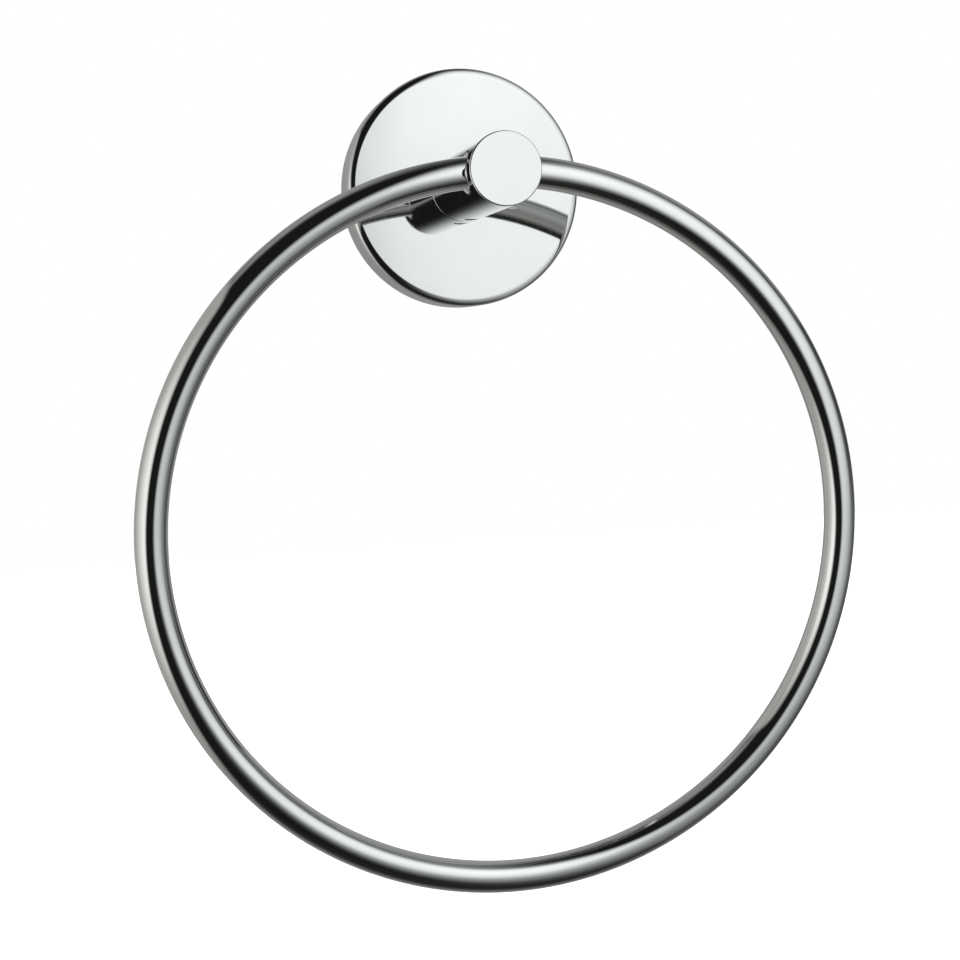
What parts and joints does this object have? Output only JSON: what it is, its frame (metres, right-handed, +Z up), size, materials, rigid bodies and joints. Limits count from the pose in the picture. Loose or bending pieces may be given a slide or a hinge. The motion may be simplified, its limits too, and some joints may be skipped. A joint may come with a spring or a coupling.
{
  "type": "towel ring",
  "caption": "Wall-mounted towel ring: a round tube ring swings in the cross bore of a short round post on a round cup flange over a concealed bracket.",
  "frame": {"origin": "on the wall plane, at the centre of the three fixing screws, which is also the axis of the post", "axes": "+Z up, +Y into the wall, -Y out of the wall along the post, +X to the right seen from the front"},
  "size_m": [0.1902, 0.06, 0.2183],
  "materials": {
    "flange_chrome": "polished mirror",
    "post_chrome": "polished mirror",
    "ring_chrome": "polished mirror",
    "bracket_steel": "zinc plated",
    "screw_steel": "machined",
    "stud_brass": "turned"
  },
  "bodies": {
    "wall_mount": {"wall_flange": "flange_chrome", "wall_bracket": "bracket_steel", "stud_screw": "screw_steel", "bracket_stud": "stud_brass", "grub_screw": "screw_steel", "post": "post_chrome"},
    "swinging_ring": {"ring": "ring_chrome", "ring_joint_pin": "stud_brass"}
  },
  "joints": [
    {"name": "ring_swing", "type": "hinge", "parent": "wall_mount", "child": "swinging_ring", "pos_m": [0, -0.0515, 0], "axis": [-1, 0, 0], "range_deg": [-15, 195]}
  ]
}
